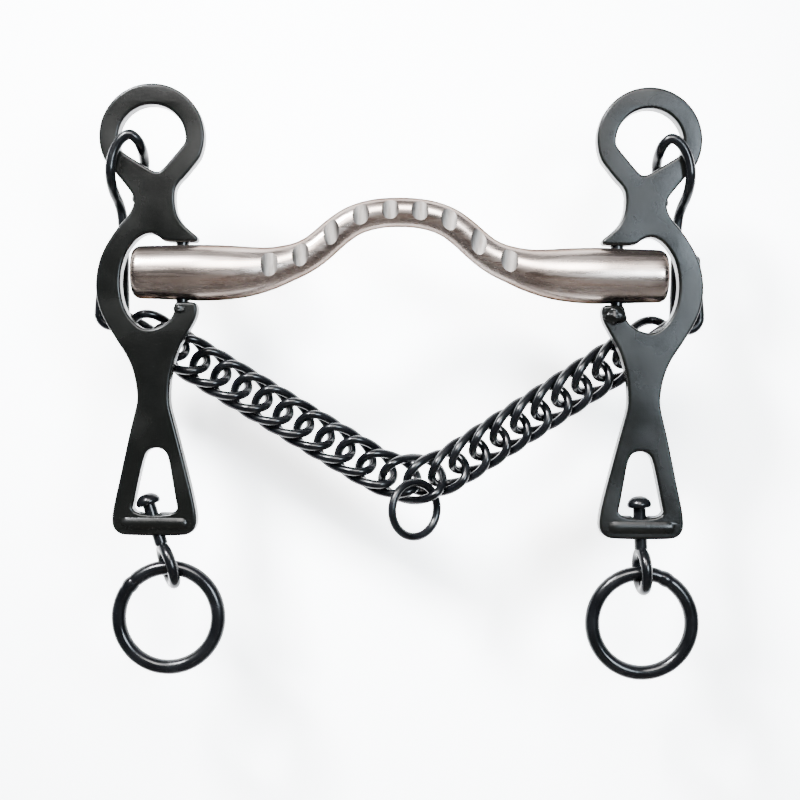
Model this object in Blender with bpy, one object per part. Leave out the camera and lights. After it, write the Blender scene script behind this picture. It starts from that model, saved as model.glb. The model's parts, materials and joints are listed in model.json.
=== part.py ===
"""Curb bit with loose cheeks, curb hooks, swivelled rein rings and a double-mesh curb chain.

The bit hangs upright in its working position, in metres: X to the viewer's right, Z up, the front
towards -Y. The origin is the middle of the mouthpiece, on the axis of its two straight ends.
"""
import bpy
import bmesh
import numpy as np
from math import atan2, cos, pi, radians, sin, tan
from mathutils import Matrix, Vector

MM = 0.001

# mouthpiece: centreline (distance from the middle, height, radius), one half
BAR_HALF = 84.2
BAR_SHAPE = ((0, 19.6, 4.65), (4, 19.45, 4.65), (8, 18.95, 4.7), (12, 17.9, 4.75), (15.5, 16.4, 4.8),
             (18.5, 14.4, 4.85), (21.1, 12.3, 4.9), (24, 9.7, 4.95), (27.2, 7.1, 5.05), (31, 4.9, 5.35),
             (35.5, 3.2, 5.85), (41.4, 1.5, 6.8), (48, 0.5, 7.9), (55, 0.1, 8.6), (62, 0, 8.85),
             (69, 0, 8.7), (77, 0, 8.45), (81.6, 0, 8.3), (83.0, 0, 7.9), (83.9, 0, 7.1), (84.2, 0, 6.2))
NOTCH_FIRST, NOTCH_STEP, NOTCH_COUNT = -40.3, 9.3, 9
NOTCH_R, NOTCH_DEPTH, NOTCH_LIFT = 3.9, 1.1, -8.0     # the lift turns the cut up the front face

# cheek: outlines in a plane, u outward from the pin axis and z above the mouthpiece axis
PIN_X = 68.6
PLATE = 6.0
EDGE = 0.7
EYE_U, EYE_Z, EYE_R = 9.7, 42.7, 16.6
OPEN_U, OPEN_Z, OPEN_R = 9.7, 42.0, 10.6
PIN_R, PIN_GAP = 2.0, 0.25
PIN_BOTTOM, PIN_TOP = -17.0, 13.6
SHANK_OUT = ((15.8, 25.0), (15.2, 22.6), (15.4, 20.4), (17, 17.5), (19.5, 14.8), (22.4, 10.7),
             (24.8, 6.5), (26.3, 2.2), (27, -2.5), (26.9, -7), (25.7, -12), (23.4, -16.6), (20, -22),
             (17, -26.4), (15.0, -31), (14.0, -35.5), (13.5, -40), (14.3, -44), (15.8, -50),
             (17.5, -58), (19.0, -65.5), (20.5, -72), (21.3, -77), (21.1, -80.2), (19.4, -82.3), (16.4, -83.0))
SHANK_IN = ((-0.6, -83.0), (-3.4, -82.3), (-5.2, -80.2), (-5.4, -77), (-4.5, -72), (-3.0, -66), (-1.2, -59),
            (0.7, -52), (2.3, -46), (3.3, -42.5), (3.6, -39), (3.3, -33.5), (2.3, -28.5), (0.6, -23.4),
            (-2.4, -18.4), (-4.6, -14.6), (-5.2, -11.6), (-4.6, -9.8), (-3.6, -9.35))
HORN_C = ((1.2, -9.35), (2.3, -10.2), (2.2, -12.6), (3.6, -15.2), (6.5, -17.2), (10, -18.2), (13, -17.5),
          (16, -14.7), (18.2, -10.6), (19.2, -6), (19.3, -1.5), (18.5, 3.2), (17, 6.9), (14.2, 10.5),
          (10.6, 12.4), (7.4, 11.3), (5.4, 9.35))
HORN_TOP = ((-3.9, 9.35), (-5.1, 9.9), (-5.0, 11.2), (-2.7, 13.0), (-0.2, 15.2), (1.4, 17.8), (2.2, 21),
            (2.3, 25.6), (1.2, 28.0), (-1.2, 30.4))
WINDOW = ((0.4, -76.3), (1.4, -71), (2.5, -65), (3.3, -60), (4.2, -57), (5.6, -55.7), (7.5, -55.3),
          (9.4, -55.7), (10.9, -57), (11.8, -60), (12.9, -65), (14.1, -71), (15.2, -76.3))
FOOT_U, FOOT_Z = 8.0, -79.6
STUD_HOLE_R = 2.9
FOOT_BAR_R, FOOT_BAR_Z, FOOT_BAR_HALF = 3.6, -79.2, 12.2

# swivel: headed stud with an eye loop, and the rein ring in it
STUD_R = 2.05
HEAD_R, HEAD_RISE, HEAD_Z = 3.85, 3.7, 6.5
LOOP_WIRE, LOOP_HALF, LOOP_TOP, LOOP_BOTTOM = 3.6, 5.5, -5.7, -21.3
LEAN = {"left": 18.0, "right": -3.0}
LOOP_TURN = {"left": 20.0, "right": 6.0}
RING_R, RING_WIRE, RING_PLAY = 15.7, 4.65, 1.1

# curb hook: one bent wire, (u, y, z)
HOOK_WIRE = 3.2
HOOK_EYE = ((16.0, 5.2, 22.4), (14.8, 5.5, 26.8), (13.7, 5.5, 31.4), (13.2, 5.0, 34.9), (13.0, 2.4, 37.3),
            (13.0, -1.6, 39.0), (13.8, -4.2, 41.0), (16.0, -5.2, 42.6), (18.7, -5.3, 41.2), (20.7, -5.3, 38.0),
            (21.8, -5.3, 34.2), (22.1, -5.0, 30.8), (22.1, -2.8, 27.6), (21.8, 0.4, 25.0), (21.2, 3.4, 22.8),
            (20.6, 5.4, 20.2), (20.2, 6.0, 17.0))
HOOK_PIVOT = (17.5, 0.0, 32.5)
HOOK_U_R, HOOK_U_PLAY = 4.1, 0.8
HOOK_TIP = {"left": ((28.0, 10.6, -6.5), (27.0, 9.8, -1.0), (26.3, 9.2, 3.0)),
            "right": ((28.0, 10.6, -6.5), (27.0, 9.6, 1.0), (26.6, 8.8, 7.6))}

# curb chain: seats of its end rings in the hooks, its lowest point, and its rings
CHAIN_Y = 11.0
SEAT_U, SEAT_Z = 24.4, -11.5
LOW_X, LOW_Z = 5.2, -69.5
BEND_R = 26.0
LINKS = 26
LINK_WIRE, LINK_LONG, LINK_HALF, LINK_TWIST, LINK_ROLL = 2.8, 9.85, 6.1, 3.1, -14.0
MIDDLE, MIDDLE_HALF, MIDDLE_TWIST, MIDDLE_DROP = 13, 6.9, 4.5, 0.4
END_LONG, END_HALF, END_ROLL, END_IN = 9.6, 6.0, 80.0, 9.5
FLY_AT, FLY_TURN = (5.4, 5.6, -74.7), 34.0
FLY_R, FLY_WIRE = 8.7, 2.7

BLACK = ("black_steel", (0.03, 0.03, 0.032, 1.0), 1.0, 0.35)
BRIGHT = ("stainless", (0.62, 0.58, 0.55, 1.0), 1.0, 0.3)


def collect(obj, name):
    """Put an object in a collection of the scene, made when it is first needed."""
    group = bpy.data.collections.get(name)
    if group is None:
        group = bpy.data.collections.new(name)
        bpy.context.scene.collection.children.link(group)
    group.objects.link(obj)
    return obj


def finish_object(obj, look, origin=(0, 0, 0)):
    """Mesh name, material, place (mm) and collection of one piece."""
    obj.data.name = obj.name
    mat = bpy.data.materials.new(obj.name + "_" + look[0])
    mat.use_nodes = True
    shader = mat.node_tree.nodes["Principled BSDF"]
    shader.inputs["Base Color"].default_value = look[1]
    shader.inputs["Metallic"].default_value = look[2]
    shader.inputs["Roughness"].default_value = look[3]
    obj.data.materials.clear()
    obj.data.materials.append(mat)
    obj.location = Vector(origin) * MM
    return collect(obj, "curb_bit")


def cutter(obj):
    """Keep a body that cuts or joins another out of the render."""
    obj.hide_render = True
    obj.display_type = "WIRE"
    return collect(obj, "cutters")


def boolean(obj, other, operation):
    mod = obj.modifiers.new(operation.lower() + "_" + other.name, "BOOLEAN")
    mod.operation = operation
    mod.solver = "EXACT"
    mod.object = other
    return mod


def curve_object(name, splines, cyclic, flat=False, **settings):
    """Curve of straight pieces; each spline is a list of (x, y, z, radius factor) in mm."""
    data = bpy.data.curves.new(name, "CURVE")
    data.dimensions = "2D" if flat else "3D"
    data.resolution_u = 1
    for key, value in settings.items():
        setattr(data, key, value)
    for points in splines:
        spline = data.splines.new("POLY")
        spline.points.add(len(points) - 1)
        for target, (x, y, z, r) in zip(spline.points, points):
            target.co = (x * MM, y * MM, z * MM, 1.0)
            target.radius = r
        spline.use_cyclic_u = cyclic
    return bpy.data.objects.new(name, data)


def meshed(curve):
    """Mesh copy of a curve with its caps welded, standing in for the curve."""
    name = curve.name
    bpy.context.scene.collection.objects.link(curve)
    bpy.context.view_layer.update()
    mesh = bpy.data.meshes.new_from_object(curve.evaluated_get(bpy.context.evaluated_depsgraph_get()))
    bpy.data.objects.remove(curve)
    body = bmesh.new()
    body.from_mesh(mesh)
    bmesh.ops.remove_doubles(body, verts=body.verts, dist=1e-6)
    bmesh.ops.recalc_face_normals(body, faces=body.faces)
    body.to_mesh(mesh)
    body.free()
    return bpy.data.objects.new(name, mesh)


def rounded(points, per=4, closed=False):
    """Smooth run through the given points (Catmull-Rom), as numpy rows."""
    pts = np.array(points, float)
    count = len(pts)
    out = []
    for i in range(count if closed else count - 1):
        p0 = pts[(i - 1) % count] if closed or i else 2 * pts[0] - pts[1]
        p1, p2 = pts[i], pts[(i + 1) % count]
        p3 = pts[(i + 2) % count] if closed or i + 2 < count else 2 * pts[-1] - pts[-2]
        for k in range(per):
            t = k / per
            out.append(0.5 * (2 * p1 + (p2 - p0) * t + (2 * p0 - 5 * p1 + 4 * p2 - p3) * t ** 2
                              + (3 * p1 - p0 - 3 * p2 + p3) * t ** 3))
    if not closed:
        out.append(pts[-1])
    return np.array(out)


def wire(name, points, thick, cyclic, sides=8):
    """Round wire along the points (mm, relative to the object's origin)."""
    rows = [(x, y, z, 1.0) for x, y, z in points]
    curve = curve_object(name, [rows], cyclic, bevel_depth=thick / 2 * MM,
                         bevel_resolution=(sides - 4) // 2, use_fill_caps=not cyclic)
    return meshed(curve)


def rod(name, radius, bottom, top, sides=24):
    """Upright cylinder between two heights (mm)."""
    body = bmesh.new()
    bmesh.ops.create_cone(body, cap_ends=True, segments=sides, radius1=radius * MM, radius2=radius * MM,
                          depth=(top - bottom) * MM,
                          matrix=Matrix.Translation((0, 0, (top + bottom) / 2 * MM)))
    mesh = bpy.data.meshes.new(name)
    body.to_mesh(mesh)
    body.free()
    return bpy.data.objects.new(name, mesh)


def mouthpiece():
    half = rounded(BAR_SHAPE, 1)
    rows = [(-x, 0, z, r) for x, z, r in half[:0:-1]] + [(x, 0, z, r) for x, z, r in half]
    bar = meshed(curve_object("mouthpiece", [rows], False, bevel_depth=MM, bevel_resolution=8,
                              use_fill_caps=True))
    for side in (-1, 1):
        hole = cutter(rod("cut_pin_%d" % side, PIN_R + PIN_GAP, -14, 14))
        hole.location = (side * PIN_X * MM, 0, 0)
        boolean(bar, hole, "DIFFERENCE")
    xs = [row[0] for row in rows]
    for i in range(NOTCH_COUNT):
        x = NOTCH_FIRST + i * NOTCH_STEP
        z = np.interp(x, xs, [row[2] for row in rows])
        front = np.interp(x, xs, [row[3] for row in rows])
        slope = np.interp(x + 1, xs, [row[2] for row in rows]) - np.interp(x - 1, xs, [row[2] for row in rows])
        notch = cutter(rod("cut_notch_%d" % i, NOTCH_R, -12, 12, 24))
        reach, lift = -front + NOTCH_DEPTH - NOTCH_R, radians(NOTCH_LIFT)
        notch.location = (x * MM, reach * cos(lift) * MM, (z + reach * sin(lift)) * MM)
        notch.rotation_mode = "YXZ"
        notch.rotation_euler = (lift, -atan2(slope, 2) * 0.35, 0)
        boolean(bar, notch, "DIFFERENCE")
    return finish_object(bar, BRIGHT)


def cheek_outline():
    """Outer contour of the cheek with its C opening, as (u, z) rows."""
    top = [(EYE_U + EYE_R * cos(a), EYE_Z + EYE_R * sin(a)) for a in np.linspace(radians(205), radians(-28), 28)]
    return top + list(SHANK_OUT) + list(SHANK_IN) + list(HORN_C) + list(HORN_TOP)


def eye_opening():
    top = [(OPEN_U + OPEN_R * cos(a), OPEN_Z + OPEN_R * sin(a)) for a in np.linspace(radians(183), radians(-16), 20)]
    return top + [(19.4, 37.9), (9.6, 31.9), (8.0, 31.4), (6.6, 31.9), (-0.4, 40.2)]


def cheek(side):
    sign = {"left": -1, "right": 1}[side]
    name = side + "_cheek"
    loops = [cheek_outline(), eye_opening(), list(WINDOW)]
    splines = [[(sign * u, z, 0, 1.0) for u, z in loop] for loop in loops]
    plate = meshed(curve_object(name, splines, True, flat=True, fill_mode="BOTH",
                                extrude=(PLATE / 2 - EDGE) * MM, bevel_depth=EDGE * MM, bevel_resolution=0,
                                offset=-EDGE * MM))
    plate.data.transform(Matrix.Rotation(pi / 2, 4, "X"))
    for label, bottom, top in (("upper", 8.0, PIN_TOP + 0.4), ("lower", PIN_BOTTOM - 0.4, -8.0)):
        hole = cutter(rod("cut_%s_%s" % (side, label), PIN_R + PIN_GAP, bottom, top))
        hole.location = (sign * PIN_X * MM, 0, 0)
        boolean(plate, hole, "DIFFERENCE")
    bar = cutter(rod("join_%s_foot_bar" % side, FOOT_BAR_R, -FOOT_BAR_HALF, FOOT_BAR_HALF))
    bar.location = (sign * (PIN_X + FOOT_U) * MM, 0, FOOT_BAR_Z * MM)
    bar.rotation_euler = (0, pi / 2, 0)
    boolean(plate, bar, "UNION")
    stud = cutter(rod("cut_%s_stud" % side, STUD_HOLE_R, -6, 6))
    stud.location = (sign * (PIN_X + FOOT_U) * MM, 0, FOOT_Z * MM)
    stud.rotation_euler = (0, sign * radians(LEAN[side]), 0)
    boolean(plate, stud, "DIFFERENCE")
    return finish_object(plate, BLACK, (sign * PIN_X, 0, 0))


def cheek_pin(side):
    sign = {"left": -1, "right": 1}[side]
    return finish_object(rod(side + "_cheek_pin", PIN_R, PIN_BOTTOM, PIN_TOP), BLACK, (sign * PIN_X, 0, 0))


def curb_hook(side):
    """Bent wire hook; its origin is where it bears in the cheek eye."""
    sign = {"left": -1, "right": 1}[side]
    eye = rounded(HOOK_EYE, 2)
    stem = [(19.9, 6.3, 12.0), (19.8, 6.6, 5.0), (19.9, 7.3, -1.0), (20.1, 9.3, -6.0), (20.3, 10.7, -10.0)]
    bend = [(SEAT_U - HOOK_U_R * cos(a), CHAIN_Y, SEAT_Z - HOOK_U_PLAY - HOOK_U_R * sin(a))
            for a in np.linspace(0, pi, 11)]
    path = [tuple(p) for p in eye] + stem + bend + list(HOOK_TIP[side])
    ux, uy, uz = HOOK_PIVOT
    rows = [(sign * (u - ux), y - uy, z - uz) for u, y, z in path]
    return finish_object(wire(side + "_curb_hook", rows, HOOK_WIRE, False, 10), BLACK,
                         (sign * (PIN_X + ux), uy, uz))


def swivel_frame(side):
    """Foot point of the stud axis (mm) and the turn that leans it in its loose hole."""
    sign = {"left": -1, "right": 1}[side]
    return Vector((sign * (PIN_X + FOOT_U), 0, FOOT_Z)), Matrix.Rotation(sign * radians(LEAN[side]), 3, "Y")


def swivel(side):
    foot, turn = swivel_frame(side)
    name = side + "_swivel"
    profile = [(0, LOOP_TOP - 0.9), (STUD_R, LOOP_TOP - 0.9), (STUD_R, HEAD_Z), (HEAD_R - 0.5, HEAD_Z),
               (HEAD_R, HEAD_Z + 0.6), (HEAD_R - 0.15, HEAD_Z + 1.5), (2.75, HEAD_Z + 2.9), (1.4, HEAD_Z + 3.55),
               (0, HEAD_Z + HEAD_RISE)]
    body = bmesh.new()
    verts = [body.verts.new((r * MM, 0, z * MM)) for r, z in profile]
    edges = [body.edges.new(pair) for pair in zip(verts, verts[1:])]
    bmesh.ops.spin(body, geom=verts + edges, cent=(0, 0, 0), axis=(0, 0, 1), angle=2 * pi, steps=20)
    bmesh.ops.remove_doubles(body, verts=body.verts, dist=1e-6)
    bmesh.ops.recalc_face_normals(body, faces=body.faces)
    mesh = bpy.data.meshes.new(name)
    body.to_mesh(mesh)
    body.free()
    stud = bpy.data.objects.new(name, mesh)
    r, top, low = LOOP_HALF, LOOP_TOP - LOOP_WIRE / 2 - LOOP_HALF, LOOP_BOTTOM + LOOP_WIRE / 2 + LOOP_HALF
    oval = [(0, r * cos(a), top + r * sin(a)) for a in np.linspace(0, pi, 9)]
    oval += [(0, r * cos(a), low + r * sin(a)) for a in np.linspace(pi, 2 * pi, 9)]
    loop = wire("cut_%s_loop" % side, oval, LOOP_WIRE, True, 10)
    loop.data.transform(Matrix.Rotation(radians(LOOP_TURN[side]), 4, "Z"))
    loop.data.transform(turn.to_4x4())
    mesh.transform(turn.to_4x4())
    cutter(loop).location = foot * MM
    boolean(stud, loop, "UNION")
    return finish_object(stud, BLACK, foot)


def rein_ring(side):
    foot, turn = swivel_frame(side)
    hang = foot + turn @ Vector((0, 0, LOOP_BOTTOM + LOOP_WIRE + RING_WIRE / 2 + RING_PLAY))
    rows = [(RING_R * cos(a), 0, RING_R * (sin(a) - 1)) for a in np.linspace(0, 2 * pi, 40, endpoint=False)]
    return finish_object(wire(side + "_rein_ring", rows, RING_WIRE, True, 12), BLACK, hang)


def chain_path():
    """Position (x, z) and direction angle along the hanging chain, and its length."""
    seat_x = PIN_X + SEAT_U
    left, low, right = Vector((-seat_x, SEAT_Z)), Vector((LOW_X, LOW_Z)), Vector((seat_x, SEAT_Z))
    first, last = (low - left).normalized(), (right - low).normalized()
    a, b = atan2(first.y, first.x), atan2(last.y, last.x)
    cut = BEND_R * tan((b - a) / 2)
    start = low - first * cut
    run, arc = (start - left).length, BEND_R * (b - a)
    centre = start + BEND_R * Vector((-sin(a), cos(a)))

    def at(s):
        if s < run:
            return left + first * s, a
        if s < run + arc:
            turn = a + (s - run) / BEND_R
            return centre + BEND_R * Vector((sin(turn), -cos(turn))), turn
        return right - last * (run + arc + (right - low).length - cut - s), b

    return at, run + arc + (right - low).length - cut


def ring_points(angle, long, half, twist, roll, count=24):
    """Centreline of one chain ring about its own middle."""
    along = np.array((cos(angle), 0, sin(angle)))
    up = np.array((-sin(angle), 0, cos(angle)))
    front = np.array((0, -1.0, 0))
    across = cos(roll) * up + sin(roll) * front
    face = -sin(roll) * up + cos(roll) * front
    rows = []
    for t in np.linspace(0, 2 * pi, count, endpoint=False):
        rows.append(long * cos(t) * along + half * sin(t) * across - twist * sin(2 * t) * face)
    return rows


def chain():
    at, length = chain_path()
    pitch = (length - 2 * END_IN) / (LINKS - 1)
    first, last = at(0)[1], at(length)[1]
    for i in range(LINKS):
        place, angle = at(END_IN + i * pitch)
        if i in (0, LINKS - 1):
            roll = radians(-END_ROLL if i == 0 else END_ROLL)
            rows = ring_points(angle, END_LONG, END_HALF, 0, roll)
        else:
            roll = radians(LINK_ROLL) * (1 - 2 * (angle - first) / (last - first))
            half, twist = (MIDDLE_HALF, MIDDLE_TWIST) if i == MIDDLE else (LINK_HALF, LINK_TWIST)
            rows = ring_points(angle, LINK_LONG, half, twist, roll)
        drop = MIDDLE_DROP if i == MIDDLE else 0
        finish_object(wire("chain_link_%02d" % (i + 1), rows, LINK_WIRE, True), BLACK,
                      (place.x, CHAIN_Y, place.y - drop))


def fly_link():
    """Loose ring round the lowest strand of the middle chain ring; its origin is where it bears."""
    turn = radians(FLY_TURN)
    rows = [(FLY_R * cos(a) * cos(turn), FLY_R * cos(a) * sin(turn), FLY_R * (sin(a) - 1))
            for a in np.linspace(0, 2 * pi, 30, endpoint=False)]
    x, y, z = FLY_AT
    finish_object(wire("fly_link", rows, FLY_WIRE, True), BLACK, (x, y, z + FLY_R))


for old in list(bpy.data.objects):
    bpy.data.objects.remove(old)
mouthpiece()
for which in ("left", "right"):
    cheek(which)
    cheek_pin(which)
    curb_hook(which)
    swivel(which)
    rein_ring(which)
chain()
fly_link()
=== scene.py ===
"""Looks of the curb bit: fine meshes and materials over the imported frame, light, backdrop and camera."""
import bpy
import bmesh
import json
import numpy as np
from math import atan, atan2, cos, pi, radians, sin
from mathutils import Matrix, Vector
from mathutils.noise import hetero_terrain


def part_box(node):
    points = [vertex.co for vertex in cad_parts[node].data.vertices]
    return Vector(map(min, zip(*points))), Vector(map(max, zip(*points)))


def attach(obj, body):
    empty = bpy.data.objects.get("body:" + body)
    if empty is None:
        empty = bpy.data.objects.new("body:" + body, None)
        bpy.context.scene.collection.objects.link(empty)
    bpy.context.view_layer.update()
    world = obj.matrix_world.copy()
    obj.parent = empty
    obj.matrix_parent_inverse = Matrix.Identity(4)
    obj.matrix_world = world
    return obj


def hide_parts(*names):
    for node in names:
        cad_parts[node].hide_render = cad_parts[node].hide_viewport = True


MM = 0.001

# mouthpiece: centreline (distance from the middle, height, radius), one half, in mm
BAR_SHAPE = ((0, 19.6, 4.65), (4, 19.45, 4.65), (8, 18.95, 4.7), (12, 17.9, 4.75), (15.5, 16.4, 4.8),
             (18.5, 14.4, 4.85), (21.1, 12.3, 4.9), (24, 9.7, 4.95), (27.2, 7.1, 5.05), (31, 4.9, 5.35),
             (35.5, 3.2, 5.85), (41.4, 1.5, 6.8), (48, 0.5, 7.9), (55, 0.1, 8.6), (62, 0, 8.85),
             (69, 0, 8.7), (77, 0, 8.45), (81.6, 0, 8.3), (83.0, 0, 7.9), (83.9, 0, 7.1), (84.2, 0, 6.2))
NOTCH_FIRST, NOTCH_STEP, NOTCH_COUNT = -40.3, 9.3, 9
NOTCH_R, NOTCH_DEPTH, NOTCH_LIFT = 3.9, 1.1, -8.0

# cheek outlines: u outward from the pin axis, z above the mouthpiece axis, in mm
PLATE, EDGE = 6.0, 0.9
EYE_U, EYE_Z, EYE_R = 9.7, 42.7, 16.6
OPEN_U, OPEN_Z, OPEN_R = 9.7, 42.0, 10.6
PIN_R, PIN_GAP = 2.0, 0.25
SHANK_OUT = ((15.8, 25.0), (15.2, 22.6), (15.4, 20.4), (17, 17.5), (19.5, 14.8), (22.4, 10.7),
             (24.8, 6.5), (26.3, 2.2), (27, -2.5), (26.9, -7), (25.7, -12), (23.4, -16.6), (20, -22),
             (17, -26.4), (15.0, -31), (14.0, -35.5), (13.5, -40), (14.3, -44), (15.8, -50),
             (17.5, -58), (19.0, -65.5), (20.5, -72), (21.3, -77), (21.1, -80.2), (19.4, -82.3),
             (16.4, -83.0))
SHANK_IN = ((-0.6, -83.0), (-3.4, -82.3), (-5.2, -80.2), (-5.4, -77), (-4.5, -72), (-3.0, -66), (-1.2, -59),
            (0.7, -52), (2.3, -46), (3.3, -42.5), (3.6, -39), (3.3, -33.5), (2.3, -28.5), (0.6, -23.4),
            (-2.4, -18.4), (-4.6, -14.6), (-5.2, -11.6), (-4.6, -9.8), (-3.6, -9.35))
HORN_C = ((1.2, -9.35), (2.3, -10.2), (2.2, -12.6), (3.6, -15.2), (6.5, -17.2), (10, -18.2), (13, -17.5),
          (16, -14.7), (18.2, -10.6), (19.2, -6), (19.3, -1.5), (18.5, 3.2), (17, 6.9), (14.2, 10.5),
          (10.6, 12.4), (7.4, 11.3), (5.4, 9.35))
HORN_TOP = ((-3.9, 9.35), (-5.1, 9.9), (-5.0, 11.2), (-2.7, 13.0), (-0.2, 15.2), (1.4, 17.8), (2.2, 21),
            (2.3, 25.6), (1.2, 28.0), (-1.2, 30.4))
WINDOW = ((0.4, -76.3), (1.4, -71), (2.5, -65), (3.3, -60), (4.2, -57), (5.6, -55.7), (7.5, -55.3),
          (9.4, -55.7), (10.9, -57), (11.8, -60), (12.9, -65), (14.1, -71), (15.2, -76.3))
STUD_HOLE_R = 2.9
FOOT_BAR_R, FOOT_BAR_Z, FOOT_BAR_HALF = 3.6, -79.2, 12.2

# swivel, in mm along the stud from its foot
STUD_PROFILE = ((0, -6.6), (2.05, -6.6), (2.05, 6.5), (3.2, 6.5), (3.6, 6.75), (3.85, 7.2), (3.8, 7.9),
                (3.4, 8.7), (2.75, 9.4), (1.9, 9.9), (1.0, 10.15), (0, 10.2))
LOOP_WIRE, LOOP_HALF, LOOP_TOP, LOOP_BOTTOM = 3.6, 5.5, -5.7, -21.3
LOOP_TURN = {"left": 20.0, "right": 6.0}

# wires, in mm
RING_WIRE = 4.65
WELD_TURN = {"left": 140.0, "right": 62.0}
WELD_SIZE = {"left": (1.9, 1.4, 1.4), "right": (3.5, 2.2, 2.7)}
WELD_AT = {"left": (-0.4, -2.2, -11.6), "right": (-1.0, -2.6, -12.6)}
HOOK_WIRE = 3.2
HOOK_PATH = ((16.0, 5.2, 22.4), (14.8, 5.5, 26.8), (13.7, 5.5, 31.4), (13.2, 5.0, 34.9),
             (13.0, 2.4, 37.3), (13.0, -1.6, 39.0), (13.8, -4.2, 41.0), (16.0, -5.2, 42.6),
             (18.7, -5.3, 41.2), (20.7, -5.3, 38.0), (21.8, -5.3, 34.2), (22.1, -5.0, 30.8),
             (22.1, -2.8, 27.6), (21.8, 0.4, 25.0), (21.2, 3.4, 22.8), (20.6, 5.4, 20.2),
             (20.2, 6.0, 17.0), (19.9, 6.3, 12.0), (19.8, 6.6, 5.0), (19.9, 7.3, -1.0),
             (20.1, 9.3, -6.0), (20.3, 10.7, -10.0))
HOOK_TIP = {"left": ((28.0, 10.6, -6.5), (27.0, 9.8, -1.0), (26.3, 9.2, 3.0)),
            "right": ((28.0, 10.6, -6.5), (27.0, 9.6, 1.0), (26.6, 8.8, 7.6))}
SEAT_U, SEAT_Z, HOOK_U_R = 24.4, -12.3, 4.1
LINK_WIRE, LINK_LONG, LINK_HALF, LINK_TWIST, LINK_ROLL = 2.8, 9.85, 6.1, 3.1, -14.0
MIDDLE, MIDDLE_HALF, MIDDLE_TWIST = "chain_link_14", 6.9, 4.5
END_LONG, END_HALF, END_ROLL = 9.6, 6.0, 80.0
FLY_R, FLY_WIRE, FLY_TURN = 8.7, 2.7, 34.0

PAINTED_RIM_SHADE = (0.02, 0.015, 0.01, 1)     # painted shade: the steel's reflection darkens towards its outline, standing in for the shaded sheet it would mirror there

# view and surroundings, in metres
VIEW_DISTANCE, VIEW_WIDTH = 0.450, 0.2528
VIEW_CENTRE = (0.0004, -0.0397)
VIEW_ROLL = -0.45
BACKDROP_Y, BACKDROP_SIZE, FLOOR_Z, FLOOR_SIZE = 0.045, 1.0, -0.90, 4
BACKDROP_GLOW, LIGHT_SPREAD = 1.5, 64
SKY = ((0.0, (0.10, 0.07, 0.055)), (0.42, (0.045, 0.034, 0.03)), (0.55, (0.05, 0.05, 0.05)),
       (0.72, (0.42, 0.45, 0.49)), (1.0, (0.50, 0.52, 0.56)))


# ---------------------------------------------------------------- shapes
def chaikin(points, times=2, closed=True):
    """Round a run of points by cutting its corners."""
    pts = np.array(points, float)
    for _ in range(times):
        nxt = np.roll(pts, -1, axis=0) if closed else pts[1:]
        cur = pts if closed else pts[:-1]
        cut = np.stack((0.75 * cur + 0.25 * nxt, 0.25 * cur + 0.75 * nxt), axis=1).reshape(-1, pts.shape[1])
        pts = cut if closed else np.vstack((pts[:1], cut, pts[-1:]))
    return pts


def smooth_run(points, per=6):
    """Smooth run through the given points (Catmull-Rom)."""
    pts = np.array(points, float)
    ends = np.vstack((2 * pts[0] - pts[1], pts, 2 * pts[-1] - pts[-2]))
    out = []
    for p0, p1, p2, p3 in zip(ends, ends[1:], ends[2:], ends[3:]):
        for t in np.arange(per) / per:
            out.append(0.5 * (2 * p1 + (p2 - p0) * t + (2 * p0 - 5 * p1 + 4 * p2 - p3) * t ** 2
                              + (3 * p1 - p0 - 3 * p2 + p3) * t ** 3))
    return np.array(out + [pts[-1]])


def curve_mesh(name, splines, cyclic, flat=False, **settings):
    """Mesh of a curve; each spline's rows are (x, y, z, radius factor) in mm."""
    data = bpy.data.curves.new(name, "CURVE")
    data.dimensions = "2D" if flat else "3D"
    for key, value in settings.items():
        setattr(data, key, value)
    for rows in splines:
        spline = data.splines.new("POLY")
        spline.points.add(len(rows) - 1)
        for target, (x, y, z, r) in zip(spline.points, rows):
            target.co = (x * MM, y * MM, z * MM, 1.0)
            target.radius = r
        spline.use_cyclic_u = cyclic
    curve = bpy.data.objects.new(name, data)
    bpy.context.scene.collection.objects.link(curve)
    bpy.context.view_layer.update()
    mesh = bpy.data.meshes.new_from_object(curve.evaluated_get(bpy.context.evaluated_depsgraph_get()))
    bpy.data.objects.remove(curve)
    return clean(mesh)


def clean(mesh):
    body = bmesh.new()
    body.from_mesh(mesh)
    bmesh.ops.remove_doubles(body, verts=body.verts, dist=1e-6)
    bmesh.ops.recalc_face_normals(body, faces=body.faces)
    body.to_mesh(mesh)
    body.free()
    return mesh


def placed(name, mesh, sharp=35):
    mesh.name = name
    mesh.shade_smooth()
    mesh.set_sharp_from_angle(angle=radians(sharp))
    obj = bpy.data.objects.new(name, mesh)
    bpy.context.scene.collection.objects.link(obj)
    return obj


def wire_mesh(name, points, thick, cyclic=True, fine=5):
    """Round wire along points in mm; an open wire gets rounded ends."""
    pts = np.array(points, float)
    radius = np.full(len(pts), thick / 2)
    if not cyclic:
        run = np.concatenate(([0], np.cumsum(np.linalg.norm(np.diff(pts, axis=0), axis=1))))
        steps = np.array([0.0, 0.04, 0.15, 0.35, 0.65, 1.0]) * thick / 2
        inner = run[(run > steps[-1] * 1.2) & (run < run[-1] - steps[-1] * 1.2)]
        at = np.concatenate((steps, inner, run[-1] - steps[::-1]))
        pts = np.stack([np.interp(at, run, pts[:, k]) for k in range(3)], axis=1)
        edge = np.minimum(at, run[-1] - at).clip(0, thick / 2)
        radius = np.sqrt((thick / 2) ** 2 - (thick / 2 - edge) ** 2).clip(0.02)
    rows = [(x, y, z, r) for (x, y, z), r in zip(pts, radius)]
    return curve_mesh(name, [rows], cyclic, bevel_depth=MM, bevel_resolution=fine, use_fill_caps=not cyclic)


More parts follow.
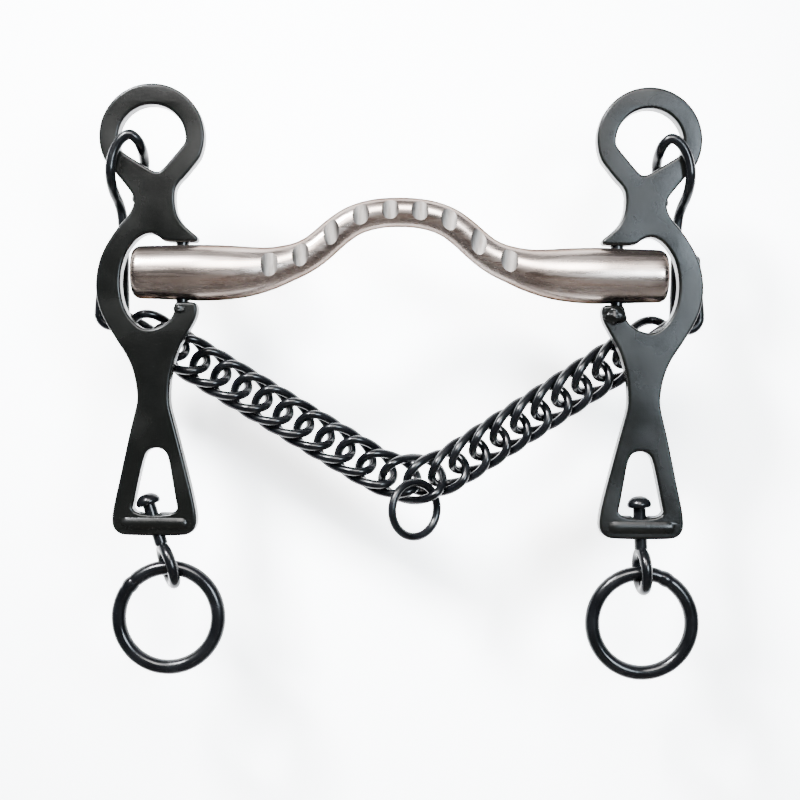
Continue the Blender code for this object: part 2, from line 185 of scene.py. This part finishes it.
def rod_mesh(radius, bottom, top, sides=48):
    body = bmesh.new()
    centre = Matrix.Translation((0, 0, (top + bottom) / 2 * MM))
    bmesh.ops.create_cone(body, cap_ends=True, segments=sides, radius1=radius * MM, radius2=radius * MM,
                          depth=(top - bottom) * MM, matrix=centre)
    mesh = bpy.data.meshes.new("rod")
    body.to_mesh(mesh)
    body.free()
    return mesh


def combined(obj, mesh, operation):
    """Cut or join a mesh into an object, and apply it."""
    tool = bpy.data.objects.new("tool", mesh)
    bpy.context.scene.collection.objects.link(tool)
    mod = obj.modifiers.new(operation, "BOOLEAN")
    mod.operation, mod.solver, mod.object = operation, "EXACT", tool
    bpy.context.view_layer.update()
    result = bpy.data.meshes.new_from_object(obj.evaluated_get(bpy.context.evaluated_depsgraph_get()))
    obj.modifiers.clear()
    obj.data = result
    bpy.data.objects.remove(tool)


def settle(obj, node, body, material, sharp=35, flat=False):
    """Finish a piece: shading, material, the body it rides on and the node it stands for."""
    obj.data.shade_smooth()
    obj.data.set_sharp_from_angle(angle=radians(sharp))
    if flat:
        weigh = obj.modifiers.new("flat faces", "WEIGHTED_NORMAL")
        weigh.keep_sharp, weigh.weight = True, 100
        bpy.context.view_layer.update()
        graph = bpy.context.evaluated_depsgraph_get()
        obj.data = bpy.data.meshes.new_from_object(obj.evaluated_get(graph), depsgraph=graph)
        obj.modifiers.clear()
    obj.data.materials.clear()
    obj.data.materials.append(material)
    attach(obj, body)
    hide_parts(node)


# ---------------------------------------------------------------- materials
def shader(name, base, metallic, roughness):
    mat = bpy.data.materials.new(name)
    mat.use_nodes = True
    node = mat.node_tree.nodes["Principled BSDF"]
    node.inputs["Base Color"].default_value = (*base, 1)
    node.inputs["Metallic"].default_value = metallic
    node.inputs["Roughness"].default_value = roughness
    return mat, node


def noise(tree, scale, stretch=(1, 1, 1), detail=3.0):
    """Noise in object space, drawn out along the axes with small stretch values."""
    where = tree.nodes.new("ShaderNodeTexCoord")
    fit = tree.nodes.new("ShaderNodeMapping")
    fit.inputs["Scale"].default_value = stretch
    grain = tree.nodes.new("ShaderNodeTexNoise")
    grain.inputs["Scale"].default_value = scale
    grain.inputs["Detail"].default_value = detail
    tree.links.new(where.outputs["Object"], fit.inputs["Vector"])
    tree.links.new(fit.outputs["Vector"], grain.inputs["Vector"])
    return grain.outputs["Fac"]


def spread(tree, value, low, high):
    node = tree.nodes.new("ShaderNodeMapRange")
    node.inputs["From Min"].default_value, node.inputs["From Max"].default_value = 0.3, 0.7
    node.inputs["To Min"].default_value, node.inputs["To Max"].default_value = low, high
    tree.links.new(value, node.inputs["Value"])
    return node.outputs["Result"]


def tint(tree, value, dark, light):
    ramp = tree.nodes.new("ShaderNodeValToRGB")
    ramp.color_ramp.elements[0].position, ramp.color_ramp.elements[1].position = 0.35, 0.7
    ramp.color_ramp.elements[0].color, ramp.color_ramp.elements[1].color = (*dark, 1), (*light, 1)
    tree.links.new(value, ramp.inputs["Fac"])
    return ramp.outputs["Color"]


def raise_bump(tree, node, height, strength, distance):
    bump = tree.nodes.new("ShaderNodeBump")
    bump.inputs["Strength"].default_value = strength
    bump.inputs["Distance"].default_value = distance
    tree.links.new(height, bump.inputs["Height"])
    tree.links.new(bump.outputs["Normal"], node.inputs["Normal"])


def brushed_steel():
    """Satin steel, its fine brushing running along the bar."""
    mat, node = shader("brushed_steel", (0.26, 0.22, 0.20), 1.0, 0.27)
    # painted shade: a near-black edge tint darkens the bar's reflection towards its outline
    node.inputs["Specular Tint"].default_value = PAINTED_RIM_SHADE
    tree = mat.node_tree
    lines = noise(tree, 900, (0.04, 1.0, 1.0), 4)
    cloud = noise(tree, 55)
    tree.links.new(spread(tree, lines, 0.22, 0.33), node.inputs["Roughness"])
    tree.links.new(tint(tree, cloud, (0.155, 0.125, 0.11), (0.25, 0.215, 0.195)), node.inputs["Base Color"])
    raise_bump(tree, node, lines, 0.12, 0.00003)
    return mat


def ground_steel():
    """Duller steel of the ground notches, its marks running across the bar."""
    mat, node = shader("ground_steel", (0.07, 0.064, 0.06), 1.0, 0.5)
    # painted shade: the same near-black edge tint darkens the notches' reflection towards their outlines
    node.inputs["Specular Tint"].default_value = PAINTED_RIM_SHADE
    tree = mat.node_tree
    marks = noise(tree, 1400, (1.0, 1.0, 0.08), 4)
    tree.links.new(spread(tree, marks, 0.42, 0.6), node.inputs["Roughness"])
    shade = tint(tree, marks, (0.040, 0.036, 0.033), (0.085, 0.079, 0.074))
    tree.links.new(shade, node.inputs["Base Color"])
    raise_bump(tree, node, marks, 0.3, 0.00005)
    return mat


def black_steel(name, dark, light, roughness, gloss, spots, dents):
    """Blackened steel: slight orange peel, rubbed patches, and the shallow dents of hand forging."""
    mat, node = shader(name, dark, 0.0, roughness)
    node.inputs["Specular IOR Level"].default_value = gloss
    tree = mat.node_tree
    peel = noise(tree, 1100, detail=2)
    patches = noise(tree, spots, detail=5)
    tree.links.new(tint(tree, patches, dark, light), node.inputs["Base Color"])
    tree.links.new(spread(tree, patches, roughness - 0.06, roughness + 0.09), node.inputs["Roughness"])
    relief = tree.nodes.new("ShaderNodeMath")
    relief.operation = "MULTIPLY_ADD"
    relief.inputs[1].default_value = dents
    tree.links.new(noise(tree, 70, detail=1), relief.inputs[0])
    tree.links.new(peel, relief.inputs[2])
    raise_bump(tree, node, relief.outputs["Value"], 0.3, 0.00006)
    return mat


# ---------------------------------------------------------------- pieces
def make_mouthpiece(material, notch_material, pin_x):
    """Ported bar with its pin holes and the ground notches, which get a material of their own."""
    half = smooth_run(BAR_SHAPE, 5)
    rows = [(-x, 0, z, r) for x, z, r in half[:0:-1]] + [(x, 0, z, r) for x, z, r in half]
    mesh = curve_mesh("bar", [rows], False, bevel_depth=MM, bevel_resolution=22, use_fill_caps=True)
    bar = placed("bar", mesh)
    for side in (-1, 1):
        hole = rod_mesh(PIN_R + PIN_GAP, -14, 14)
        hole.transform(Matrix.Translation((side * pin_x, 0, 0)))
        combined(bar, hole, "DIFFERENCE")
    xs, zs, rs = ([row[k] for row in rows] for k in (0, 2, 3))
    cuts = []
    for i in range(NOTCH_COUNT):
        x = NOTCH_FIRST + i * NOTCH_STEP
        slope = (np.interp(x + 1, xs, zs) - np.interp(x - 1, xs, zs)) / 2
        reach = -np.interp(x, xs, rs) + NOTCH_DEPTH - NOTCH_R
        notch = rod_mesh(NOTCH_R, -12, 12, 72)
        place = (Matrix.Translation((x * MM, 0, np.interp(x, xs, zs) * MM))
                 @ Matrix.Rotation(radians(NOTCH_LIFT), 4, "X") @ Matrix.Translation((0, reach * MM, 0))
                 @ Matrix.Rotation(-atan(slope) * 0.35, 4, "Y"))
        notch.transform(place)
        cuts.append(place.inverted())
        combined(bar, notch, "DIFFERENCE")
    settle(bar, "mouthpiece", "mouthpiece", material, 25)
    bar.data.materials.append(notch_material)
    notch_reach = (NOTCH_R + 0.02) * MM
    for face in bar.data.polygons:
        face.material_index = int(any((cut @ face.center).xy.length < notch_reach for cut in cuts))


def make_cheek(side, material, pin, foot, lean_axis):
    """Flat cheek: eye, C opening, shank and window foot, with its pin bores and rounded foot bar."""
    sign = -1 if side == "left" else 1
    ring = [(EYE_U + EYE_R * cos(a), EYE_Z + EYE_R * sin(a))
            for a in np.linspace(radians(205), radians(-28), 56)]
    hole = [(OPEN_U + OPEN_R * cos(a), OPEN_Z + OPEN_R * sin(a))
            for a in np.linspace(radians(183), radians(-16), 44)]
    hole += [(19.4, 37.9), (14.5, 34.9), (9.6, 31.9), (8.0, 31.4), (6.6, 31.9), (3.1, 36.0), (-0.4, 40.2)]
    outer = ring + list(SHANK_OUT) + list(SHANK_IN) + list(HORN_C) + list(HORN_TOP)
    loops = [[(sign * u, z, 0, 1.0) for u, z in chaikin(loop)] for loop in (outer, hole, WINDOW)]
    mesh = curve_mesh("cheek", loops, True, flat=True, fill_mode="BOTH", extrude=(PLATE / 2 - EDGE) * MM,
                      bevel_depth=EDGE * MM, bevel_resolution=3, offset=-EDGE * MM)
    mesh.transform(Matrix.Rotation(pi / 2, 4, "X"))
    mesh.transform(Matrix.Translation(pin))
    cheek = placed(side + "_cheek_look", mesh)
    for bottom, top in ((8.0, 14.0), (-17.4, -8.0)):
        bore = rod_mesh(PIN_R + PIN_GAP, bottom, top)
        bore.transform(Matrix.Translation(pin))
        combined(cheek, bore, "DIFFERENCE")
    ends = [(foot.x / MM + x, 0, FOOT_BAR_Z) for x in np.linspace(-FOOT_BAR_HALF, FOOT_BAR_HALF, 30)]
    combined(cheek, wire_mesh("foot_bar", ends, 2 * FOOT_BAR_R, False, 10), "UNION")
    bore = rod_mesh(STUD_HOLE_R, -6, 6)
    bore.transform(Matrix.Translation(foot) @ lean_axis.to_track_quat("Z", "Y").to_matrix().to_4x4())
    combined(cheek, bore, "DIFFERENCE")
    settle(cheek, side + "_cheek", side + "_cheek", material, 28, flat=True)


def make_pin(side, material):
    low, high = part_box(side + "_cheek_pin")
    mid = (low + high) / 2
    points = [(mid.x / MM, mid.y / MM, z) for z in np.linspace(low.z / MM, high.z / MM, 12)]
    pin = placed(side + "_pin_look", wire_mesh("pin", points, 2 * PIN_R, False, 8))
    settle(pin, side + "_cheek_pin", side + "_cheek", material)


def make_weld(side, material, pin):
    """Rough weld that holds the pin to the lower horn of the C."""
    body = bmesh.new()
    bmesh.ops.create_icosphere(body, subdivisions=5, radius=1.0)
    size = Vector(WELD_SIZE[side])
    for vert in body.verts:
        swell = 1 + 0.13 * hetero_terrain(vert.co * 1.7 + pin * 40, 1.0, 2.0, 4, 0.4)
        vert.co = Vector(a * b for a, b in zip(vert.co * swell, size)) * MM
    mesh = bpy.data.meshes.new("weld")
    body.to_mesh(mesh)
    body.free()
    mesh.transform(Matrix.Translation(pin + Vector(WELD_AT[side]) * MM))
    weld = placed(side + "_weld", mesh, 80)
    weld.data.materials.append(material)
    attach(weld, side + "_cheek")


def make_hook(side, material, pin):
    """Wire hook: loop round the web of the eye, strand down behind the cheek, and the open U."""
    sign = -1 if side == "left" else 1
    bend = [(SEAT_U - HOOK_U_R * cos(a), 11.0, SEAT_Z - HOOK_U_R * sin(a)) for a in np.linspace(0, pi, 11)]
    run = smooth_run(list(HOOK_PATH) + bend + list(HOOK_TIP[side]), 5)
    points = [(pin.x / MM + sign * u, y, z) for u, y, z in run]
    hook = placed(side + "_hook_look", wire_mesh("hook", points, HOOK_WIRE, False, 7))
    settle(hook, side + "_curb_hook", side + "_curb_hook", material)


def make_swivel(side, material, foot, up):
    """Headed stud turned about its own axis, with its eye loop joined on below."""
    body = bmesh.new()
    verts = [body.verts.new((r * MM, 0, z * MM)) for r, z in STUD_PROFILE]
    edges = [body.edges.new(pair) for pair in zip(verts, verts[1:])]
    bmesh.ops.spin(body, geom=verts + edges, cent=(0, 0, 0), axis=(0, 0, 1), angle=2 * pi, steps=48)
    stud = bpy.data.meshes.new("stud")
    body.to_mesh(stud)
    body.free()
    clean(stud)
    r, top, low = LOOP_HALF, LOOP_TOP - LOOP_WIRE / 2 - LOOP_HALF, LOOP_BOTTOM + LOOP_WIRE / 2 + LOOP_HALF
    oval = [(0, r * cos(a), top + r * sin(a)) for a in np.linspace(0, pi, 28)]
    oval += [(0, r * cos(a), low + r * sin(a)) for a in np.linspace(pi, 2 * pi, 28)]
    loop = wire_mesh("loop", oval, LOOP_WIRE, True, 8)
    loop.transform(Matrix.Rotation(radians(LOOP_TURN[side]), 4, "Z"))
    lean = Matrix.Translation(foot) @ Matrix.Rotation(atan2(up.x, up.z), 4, "Y")
    stud.transform(lean)
    loop.transform(lean)
    swivel = placed(side + "_swivel_look", stud)
    combined(swivel, loop, "UNION")
    settle(swivel, side + "_swivel", side + "_swivel", material)


def make_rein_ring(side, material):
    """Butt-welded ring, a little thicker and uneven where it was closed."""
    low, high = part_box(side + "_rein_ring")
    mid = (low + high) / 2 / MM
    radius = (high.x - low.x) / 2 / MM - RING_WIRE / 2
    weld = radians(WELD_TURN[side])
    rows = []
    for a in np.linspace(0, 2 * pi, 160, endpoint=False):
        off = abs((a - weld + pi) % (2 * pi) - pi) * radius
        swell = 1 + 0.10 * np.exp(-(off / 1.1) ** 2) - 0.07 * np.exp(-((off - 1.9) / 0.35) ** 2)
        rows.append((mid.x + radius * cos(a), mid.y, mid.z + radius * sin(a), RING_WIRE / 2 * swell))
    ring = placed(side + "_ring_look", curve_mesh("ring", [rows], True, bevel_depth=MM, bevel_resolution=9))
    settle(ring, side + "_rein_ring", side + "_rein_ring", material, 60)


def link_points(centre, along, long, half, twist, roll, count=80):
    """Centreline of one chain ring, in mm."""
    up, front = np.array((-along[2], 0, along[0])), np.array((0, -1.0, 0))
    across, face = cos(roll) * up + sin(roll) * front, -sin(roll) * up + cos(roll) * front
    return [centre + long * cos(t) * along + half * sin(t) * across - twist * sin(2 * t) * face
            for t in np.linspace(0, 2 * pi, count, endpoint=False)]


def make_chain(material, joints):
    """Every ring at its roll joint, then the two end rings that hang in the hooks."""
    rolls = [j for j in joints if j["name"].startswith("link_")]
    slants = {j["name"]: atan2(j["axis"][2], j["axis"][0]) for j in rolls}
    first, last = min(slants.values()), max(slants.values())
    for joint in rolls:
        node = "chain_" + joint["child"]
        share = (slants[joint["name"]] - first) / (last - first)
        half, twist = (MIDDLE_HALF, MIDDLE_TWIST) if node == MIDDLE else (LINK_HALF, LINK_TWIST)
        centre = np.array(joint["pos_m"]) / MM
        angle = slants[joint["name"]]
        points = link_points(centre, np.array((cos(angle), 0, sin(angle))), LINK_LONG, half, twist,
                             radians(LINK_ROLL) * (1 - 2 * share))
        link = placed(node + "_look", wire_mesh(node, points, LINK_WIRE))
        settle(link, node, joint["child"], material)
    for node, angle, roll in (("chain_link_01", first, -END_ROLL), ("chain_link_26", last, END_ROLL)):
        low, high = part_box(node)
        points = link_points(np.array((low + high) / 2) / MM, np.array((cos(angle), 0, sin(angle))),
                             END_LONG, END_HALF, 0, radians(roll))
        link = placed(node + "_look", wire_mesh(node, points, LINK_WIRE))
        settle(link, node, "curb_chain", material)


def make_fly_link(material):
    low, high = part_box("fly_link")
    mid, turn = (low + high) / 2 / MM, radians(FLY_TURN)
    points = [(mid.x + FLY_R * cos(a) * cos(turn), mid.y + FLY_R * cos(a) * sin(turn),
               mid.z + FLY_R * sin(a)) for a in np.linspace(0, 2 * pi, 100, endpoint=False)]
    ring = placed("fly_link_look", wire_mesh("fly", points, FLY_WIRE, True, 7))
    settle(ring, "fly_link", "fly_link", material)


# ---------------------------------------------------------------- surroundings
def plane(name, size, place, turn, material):
    mesh = bpy.data.meshes.new(name)
    h = size / 2
    mesh.from_pydata([(-h, -h, 0), (h, -h, 0), (h, h, 0), (-h, h, 0)], [], [(0, 1, 2, 3)])
    obj = bpy.data.objects.new(name, mesh)
    obj.location, obj.rotation_euler = place, turn
    mesh.materials.append(material)
    bpy.context.scene.collection.objects.link(obj)


def make_surroundings():
    """Pale floor, and a softly glowing backdrop that is seen through from behind."""
    paper, _ = shader("pale_floor", (0.68, 0.64, 0.60), 0.0, 0.9)
    plane("floor", FLOOR_SIZE, (0, 0, FLOOR_Z), (0, 0, 0), paper)
    wall, node = shader("pale_backdrop", (0.9, 0.9, 0.9), 0.0, 0.9)
    node.inputs["Emission Color"].default_value = (1.0, 0.99, 0.985, 1)
    node.inputs["Emission Strength"].default_value = BACKDROP_GLOW
    tree = wall.node_tree
    facing, clear, pick = (tree.nodes.new("ShaderNode" + kind) for kind in
                           ("NewGeometry", "BsdfTransparent", "MixShader"))
    tree.links.new(facing.outputs["Backfacing"], pick.inputs["Fac"])
    tree.links.new(node.outputs["BSDF"], pick.inputs[1])
    tree.links.new(clear.outputs["BSDF"], pick.inputs[2])
    tree.links.new(pick.outputs["Shader"], tree.nodes["Material Output"].inputs["Surface"])
    plane("backdrop", BACKDROP_SIZE, (0, BACKDROP_Y, 0), (pi / 2, 0, 0), wall)


def area_light(name, place, target, size, power, colour):
    data = bpy.data.lights.new(name, "AREA")
    data.shape, data.size, data.energy, data.color = "SQUARE", size, power, colour
    data.spread = radians(LIGHT_SPREAD)
    lamp = bpy.data.objects.new(name, data)
    lamp.location = place
    lamp.rotation_euler = (Vector(target) - Vector(place)).to_track_quat("-Z", "Y").to_euler()
    bpy.context.scene.collection.objects.link(lamp)


def make_lights():
    aim = (0, 0, -0.03)
    area_light("window", (-0.42, -0.55, 0.60), aim, 0.20, 12, (0.95, 0.97, 1.0))
    area_light("band", (0.0, -0.55, 0.36), (0, 0, 0), 0.32, 3.0, (1.0, 0.98, 0.96))
    area_light("fill", (0.42, -0.80, 0.12), aim, 0.30, 4.0, (0.78, 0.90, 1.0))
    area_light("table_glow", (0.0, -0.3, -0.18), (0, 0, 0.0), 0.3, 0.02, (1.0, 0.72, 0.55))
    world = bpy.data.worlds.new("studio")
    world.use_nodes = True
    tree = world.node_tree
    where, split, level, ramp = (tree.nodes.new("ShaderNode" + kind) for kind in
                                 ("TexCoord", "SeparateXYZ", "MapRange", "ValToRGB"))
    level.inputs["From Min"].default_value = -1
    ramp.color_ramp.elements.remove(ramp.color_ramp.elements[1])
    for i, (place, colour) in enumerate(SKY):
        stop = ramp.color_ramp.elements[0] if i == 0 else ramp.color_ramp.elements.new(place)
        stop.position, stop.color = place, (*colour, 1)
    tree.links.new(where.outputs["Generated"], split.inputs["Vector"])
    tree.links.new(split.outputs["Z"], level.inputs["Value"])
    tree.links.new(level.outputs["Result"], ramp.inputs["Fac"])
    tree.links.new(ramp.outputs["Color"], tree.nodes["Background"].inputs["Color"])
    bpy.context.scene.world = world


def make_camera():
    data = bpy.data.cameras.new("camera")
    data.sensor_width = 36
    data.lens = data.sensor_width * VIEW_DISTANCE / VIEW_WIDTH
    data.clip_start = 0.01
    camera = bpy.data.objects.new("camera", data)
    camera.location = (VIEW_CENTRE[0], -VIEW_DISTANCE, VIEW_CENTRE[1])
    camera.rotation_euler = (pi / 2, radians(VIEW_ROLL), 0)
    bpy.context.scene.collection.objects.link(camera)
    bpy.context.scene.camera = camera


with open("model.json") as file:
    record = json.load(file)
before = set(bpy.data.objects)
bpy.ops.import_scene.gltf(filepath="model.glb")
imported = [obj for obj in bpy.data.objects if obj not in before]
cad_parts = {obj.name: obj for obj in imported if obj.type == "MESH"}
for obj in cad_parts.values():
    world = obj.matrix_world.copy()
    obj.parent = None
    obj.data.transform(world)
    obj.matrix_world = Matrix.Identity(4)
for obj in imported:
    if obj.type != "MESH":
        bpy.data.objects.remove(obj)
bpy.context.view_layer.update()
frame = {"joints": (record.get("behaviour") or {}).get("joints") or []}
make_camera()
make_surroundings()
make_lights()

steel = brushed_steel()
plate_black = black_steel("blackened_plate", (0.0010, 0.0011, 0.0010), (0.0016, 0.0017, 0.0015),
                          0.26, 0.10, 60, 12)
wire_black = black_steel("blackened_wire", (0.0009, 0.0010, 0.0012), (0.0018, 0.0020, 0.0024),
                         0.20, 0.13, 120, 0)
joint_at = {joint["name"]: joint for joint in frame["joints"]}

make_mouthpiece(steel, ground_steel(), joint_at["right_cheek_swing"]["pos_m"][0])
for which in ("left", "right"):
    pin_at = Vector(joint_at[which + "_cheek_swing"]["pos_m"])
    stud_joint = joint_at[which + "_swivel_turn"]
    stud_up = -Vector(stud_joint["axis"])
    make_cheek(which, plate_black, pin_at, Vector(stud_joint["pos_m"]), stud_up)
    make_pin(which, wire_black)
    make_weld(which, plate_black, pin_at)
    make_hook(which, wire_black, pin_at)
    make_swivel(which, wire_black, Vector(stud_joint["pos_m"]), stud_up)
    make_rein_ring(which, wire_black)
make_chain(wire_black, frame["joints"])
make_fly_link(wire_black)
